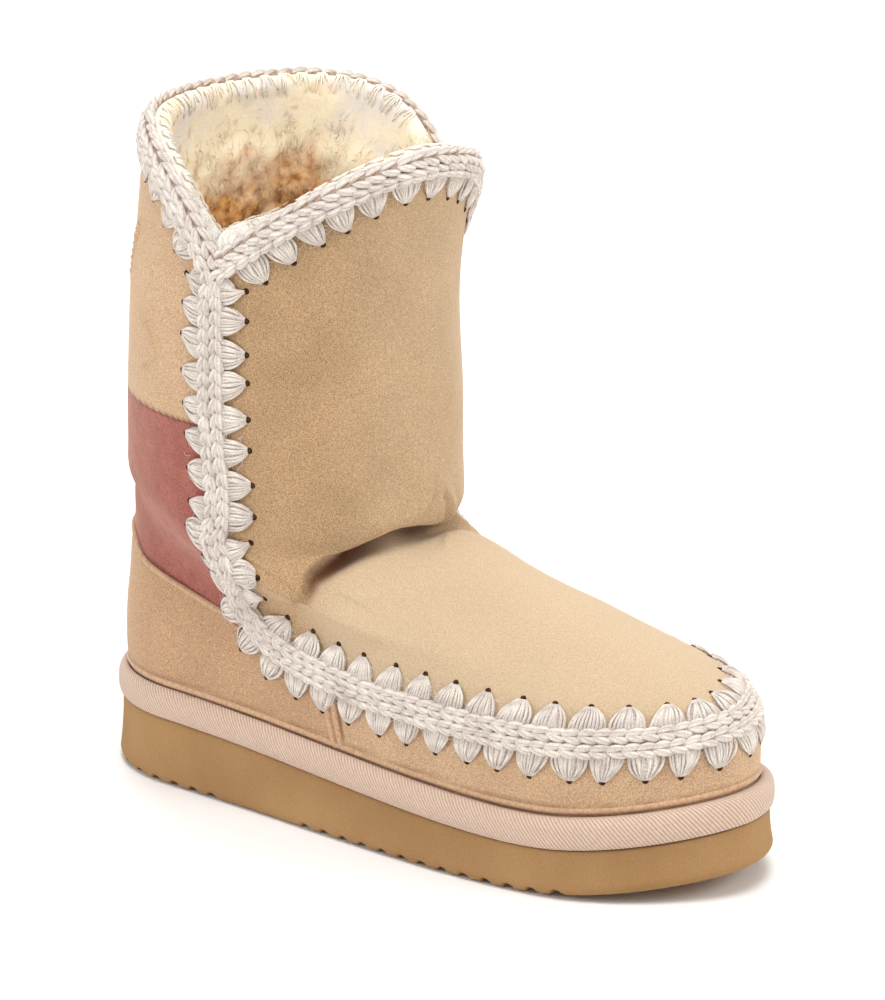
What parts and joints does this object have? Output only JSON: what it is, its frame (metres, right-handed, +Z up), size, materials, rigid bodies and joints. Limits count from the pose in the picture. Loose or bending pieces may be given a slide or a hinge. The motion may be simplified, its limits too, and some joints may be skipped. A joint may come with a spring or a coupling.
{
  "type": "mukluk boot",
  "caption": "Pull-on sheepskin mukluk boot with a fleece-lined upper, crocheted seams and collar, a wrapped welt and a flat ribbed sole.",
  "frame": {"origin": "centre of the box's bottom, on the floor under the sole", "axes": "toe towards -Y, heel towards +Y, outer side of the foot towards -X, inner side towards +X, +Z up"},
  "size_m": [0.1226, 0.2672, 0.2407],
  "materials": {
    "outsole": "matte, foamed, tan",
    "welt": "pinkish beige diagonal twill binding",
    "suede": "tan suede with a paler vamp, a pinkish rand and an old-rose heel panel",
    "fleece": "cream curly sheep fleece",
    "yarn": "off-white wool yarn, crocheted"
  },
  "bodies": {
    "root": {"outsole": "outsole", "welt_band": "welt", "upper": "suede", "fleece_lining": "fleece", "insole": "fleece", "seam_trim": "yarn", "collar_trim": "yarn"}
  },
  "joints": []
}
